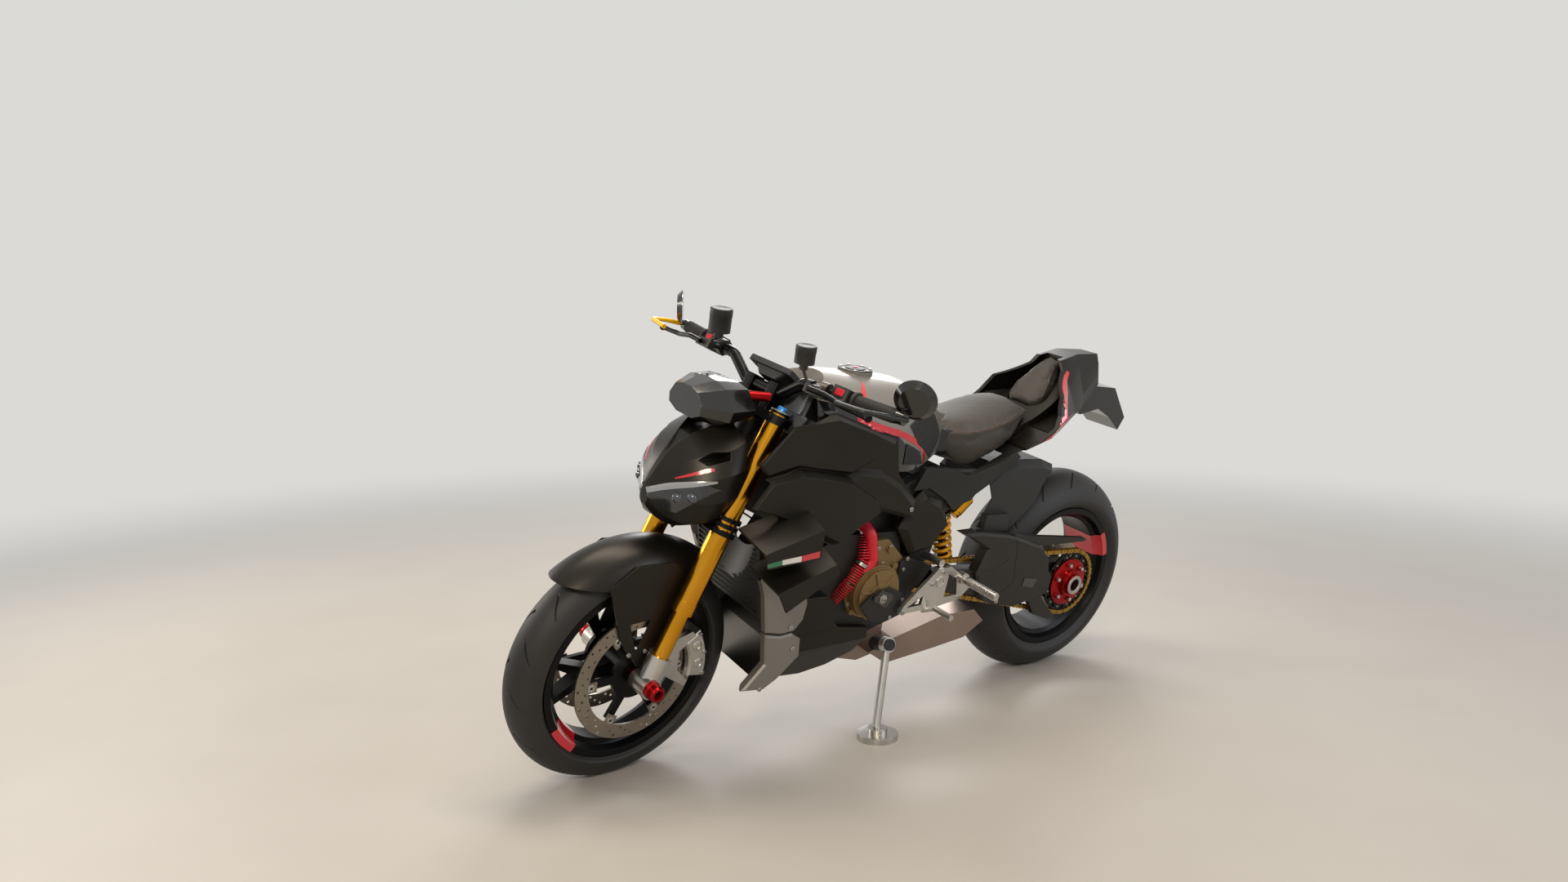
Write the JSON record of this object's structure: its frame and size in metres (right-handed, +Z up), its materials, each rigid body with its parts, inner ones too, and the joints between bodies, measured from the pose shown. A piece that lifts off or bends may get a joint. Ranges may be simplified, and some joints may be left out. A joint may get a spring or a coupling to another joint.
{
  "type": "motorcycle",
  "caption": "Naked sport motorcycle leaning on its side stand, with turning bars, rolling wheels and a folding stand.",
  "frame": {"origin": "on the floor, under the middle of the parked machine's bounding box", "axes": "+X forward along the machine, +Y to the rider's left, +Z up"},
  "size_m": [2.1197, 0.8938, 1.205],
  "materials": {
    "satin_black_paint": "satin",
    "olive_grey_paint": "satin metallic",
    "silver_paint": "satin metallic",
    "black_gloss_plastic": "gloss",
    "black_plastic": "fine grain",
    "black_aluminium": "black anodised",
    "grey_casting": "satin grey paint",
    "bronze_casting": "bronze paint",
    "silver_aluminium": "machined",
    "gold_tube": "gold anodised and nitride coated",
    "steel": "brushed",
    "chain_gold": "gold links",
    "titanium": "brushed, warm tint",
    "red_aluminium": "red anodised",
    "yellow_spring": "gloss",
    "tyre_rubber": "worn matt",
    "grip_rubber": "ribbed",
    "hose_red": "silicone",
    "seat_cover": "dark grain with stitching",
    "lamp_lens": "clear",
    "lamp_red": "tinted"
  },
  "bodies": {
    "frame": {"belly_pan": "satin_black_paint", "chain": "chain_gold", "coolant_hose": "hose_red", "engine": "black_aluminium", "engine_covers": "bronze_casting", "exhaust": "titanium", "frame_side_plates": "grey_casting", "fuel_tank": "silver_paint", "main_frame": "black_aluminium", "passenger_pad": "seat_cover", "plate_holder": "black_plastic", "radiator": "black_aluminium", "radiator_panels": "silver_paint", "rear_caliper": "black_aluminium", "rear_hugger": "black_plastic", "rear_shock": "yellow_spring", "rearsets": "silver_aluminium", "rider_seat": "seat_cover", "side_covers": "black_plastic", "side_fairings": "satin_black_paint", "swingarm": "satin_black_paint", "tail_cowl": "satin_black_paint", "tail_lamp": "lamp_red", "tank_side_panels": "black_gloss_plastic", "winglets": "satin_black_paint"},
    "steering": {"axle_clamps": "silver_aluminium", "dash": "black_plastic", "fly_screen": "black_gloss_plastic", "fork_tubes": "gold_tube", "fork_yokes": "black_aluminium", "front_axle": "red_aluminium", "front_calipers": "silver_aluminium", "front_mudguard": "olive_grey_paint", "grips": "grip_rubber", "handlebar": "black_aluminium", "headlamps": "lamp_lens", "headlight_cowl": "satin_black_paint", "lever_guards": "yellow_spring", "levers": "black_aluminium", "master_cylinders": "silver_aluminium", "mirrors": "black_gloss_plastic", "switch_boxes": "black_plastic"},
    "front_wheel": {"front_tyre": "tyre_rubber", "front_rim": "black_aluminium", "front_discs": "steel"},
    "rear_wheel": {"rear_tyre": "tyre_rubber", "rear_rim": "black_aluminium", "rear_hub": "red_aluminium", "rear_sprocket": "black_aluminium", "rear_disc": "steel"},
    "side_stand": {"side_stand": "silver_aluminium"}
  },
  "joints": [
    {"name": "steering_head", "type": "hinge", "parent": "frame", "child": "steering", "pos_m": [0.49888, -0.05224, 0.77925], "axis": [-0.4134, 0.1892, 0.8907], "range_deg": [-37, 23]},
    {"name": "front_wheel_spin", "type": "hinge", "parent": "steering", "child": "front_wheel", "pos_m": [0.76179, -0.15191, 0.29035], "axis": [-0.1113, 0.9603, -0.2556], "continuous": true},
    {"name": "rear_wheel_spin", "type": "hinge", "parent": "frame", "child": "rear_wheel", "pos_m": [-0.72593, -0.14881, 0.32678], "axis": [-0.0003, 0.9781, -0.2079], "continuous": true},
    {"name": "side_stand_fold", "type": "hinge", "parent": "frame", "child": "side_stand", "pos_m": [0.03694, -0.0057, 0.23899], "axis": [0.1058, 0.9768, 0.186], "range_deg": [0, 91]}
  ]
}
